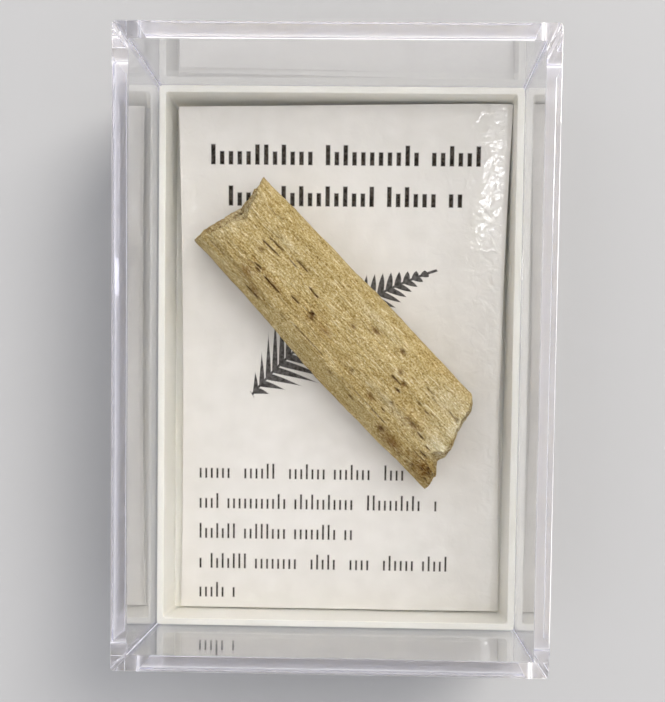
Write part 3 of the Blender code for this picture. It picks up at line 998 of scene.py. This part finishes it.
bundles = strands(tree, *BUNDLE)
fibres = strands(tree, *FIBRE)
grit = strands(tree, *GRIT)
threads = strands(tree, *THREAD)
pores = strands(tree, *PORE)
tone = 0.0
for pattern, share in zip((bundles, fibres, grit), TONE_SHARES):
    tone = node(tree, MATH, {0: pattern, 1: share, 2: tone}, operation="MULTIPLY_ADD").outputs[0]
marks = {
    name: node(tree, "ShaderNodeAttribute", attribute_name=name).outputs["Fac"]
    for name in ("golden_and_shade", "pale", "stain", "pitted", "crevice_dirt_and_shade")
}
colour = None
for name, stops in ((None, TENDON_TAN), ("golden_and_shade", TENDON_GOLD_AND_SHADE), ("pale", TENDON_PALE)):
    shade = node(tree, "ShaderNodeValToRGB", {"Fac": tone})
    set_stops(shade, stops)
    toned = shade.outputs["Color"]
    if name:
        tinted = {0: marks[name], 6: colour, 7: toned}
        toned = node(tree, "ShaderNodeMix", tinted, data_type="RGBA").outputs[2]
    colour = toned
for (start, end, most), tint in ((DARK_THREADS, GROOVE_SHADE), (CREAM_THREADS, THREAD_CREAM)):
    share = {"Value": threads, "From Min": start, "From Max": end, "To Max": most}
    share = node(tree, "ShaderNodeMapRange", share).outputs["Result"]
    tinted = {0: share, 6: colour, 7: linear(tint)}
    colour = node(tree, "ShaderNodeMix", tinted, data_type="RGBA").outputs[2]
dirty = {"Value": pores, "From Min": PORE_EDGE[0], "From Max": PORE_EDGE[1]}
dirty = node(tree, "ShaderNodeMapRange", dirty).outputs["Result"]
dirty = node(tree, MATH, {0: dirty, 1: marks["pitted"]}, operation="MULTIPLY").outputs[0]
stained, cracked = marks["stain"], marks["crevice_dirt_and_shade"]
# the last mix paints dirt and shade into the cracks, pits and slits
for share, tint in ((stained, BROWN_STAIN), (dirty, BROWN_STAIN), (cracked, CRACK_DIRT_AND_SHADE)):
    tinted = {0: share, 6: colour, 7: linear(tint)}
    colour = node(tree, "ShaderNodeMix", tinted, data_type="RGBA").outputs[2]
fuzz = node(tree, MATH, {0: grit, 1: GRIT_HEIGHT, 2: fibres}, operation="MULTIPLY_ADD").outputs[0]
fuzz = node(tree, MATH, {0: dirty, 1: -PORE_SINK, 2: fuzz}, operation="MULTIPLY_ADD").outputs[0]
relief = node(tree, "ShaderNodeBump", {"Height": fuzz, "Strength": 1.0, "Distance": FUZZ * MM})
surface = node(
    tree,
    "ShaderNodeBsdfPrincipled",
    {
        "Base Color": colour,
        "Roughness": MINERAL_ROUGHNESS,
        "Specular IOR Level": MINERAL_GLOSS,
        "Normal": relief.outputs["Normal"],
    },
)
node(tree, "ShaderNodeOutputMaterial", {"Surface": surface.outputs["BSDF"]})

fossil = new_piece("tendon_fossil", bm, mineral_bone)
for name, values in tints.items():
    layer = fossil.data.attributes.new(name, "FLOAT", "POINT")
    layer.data.foreach_set("value", values.astype(np.float32))
for polygon in fossil.data.polygons:
    polygon.use_smooth = True
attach(fossil, "root")
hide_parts("tendon")


# --- box_lid: the cover. One clear polystyrene moulding with a flat top and four thin walls, drawn in a
# little towards the top. It stands on the tray's flange, outside its rim, and lifts off.
BOX_HEIGHT = 20.0
WALL = 1.27
LID_TOP = 1.25
DRAFT = 0.2
INNER_RADIUS = 0.1
INNER_SEGMENTS = 4
VIOLET_TINT = "#f1f0ff"
TINT_DENSITY = 40.0  # per metre
FROST_AND_GLOW_WHITE = "#f2f2f8"
FROST_ROUGHNESS = 0.35
CORNER_GLOW = 0.35


def tinted_plastic(name, look):
    """Polystyrene with this look at its surface and a faint violet absorption all through it."""
    material, tree = new_material(name)
    surface = node(tree, "ShaderNodeBsdfPrincipled", {"IOR": POLYSTYRENE_IOR, **look})
    inside = {"Color": linear(VIOLET_TINT), "Density": TINT_DENSITY}
    inside = node(tree, "ShaderNodeVolumeAbsorption", inside)
    both = {"Surface": surface.outputs["BSDF"], "Volume": inside.outputs["Volume"]}
    node(tree, "ShaderNodeOutputMaterial", both)
    return material


# Clear polystyrene, injection moulded and polished: glass-clear faces, with a violet cast where one
# looks through a long way of it, at the edges.
clear_look = {"Base Color": linear("#ffffff"), "Roughness": 0.0, "Transmission Weight": 1.0}
clear_polystyrene = tinted_plastic("clear_moulded_polystyrene", clear_look)

# The inner upright corners come out of the mould faintly frosted. They scatter the light that the walls
# carry to them, so they show as fine pale lines, and a faint emission paints that light in, a painted
# glow, for the corner is no lamp.
frosted_glowing_look = {
    "Base Color": linear(FROST_AND_GLOW_WHITE),
    "Roughness": FROST_ROUGHNESS,
    # painted glow: the corner emits light though it is no lamp
    "Emission Color": linear(FROST_AND_GLOW_WHITE),
    "Emission Strength": CORNER_GLOW,
}
frosted_glowing_corner = tinted_plastic("frosted_glowing_polystyrene_corner", frosted_glowing_look)

bm = bmesh.new()
top, bottom = block(bm, BOX_WIDTH, BOX_LENGTH, PLATE + REST_GAP, BOX_HEIGHT)
draw_in(top.verts, DRAFT)
step_face(bm, bottom, WALL, BOX_HEIGHT - LID_TOP, narrower=DRAFT)
half_width = (BOX_WIDTH - DRAFT) / 2
round_uprights(bm, half_width, OUTER_RADIUS, ROUND_SEGMENTS)
round_uprights(bm, half_width - WALL, INNER_RADIUS, INNER_SEGMENTS)
face_outwards(bm)
for face in bm.faces:
    corner = face.calc_center_median()
    in_corner = abs(corner.x) < BOX_WIDTH / 2 - WALL and abs(corner.y) < BOX_LENGTH / 2 - WALL
    if in_corner and abs(face.normal.x) > 0.2 and abs(face.normal.y) > 0.2:
        face.material_index = 1
cover = new_piece("clear_cover", bm, clear_polystyrene)
cover.data.materials.append(frosted_glowing_corner)
soften_edges(cover)
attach(cover, "root")
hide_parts("box_lid")
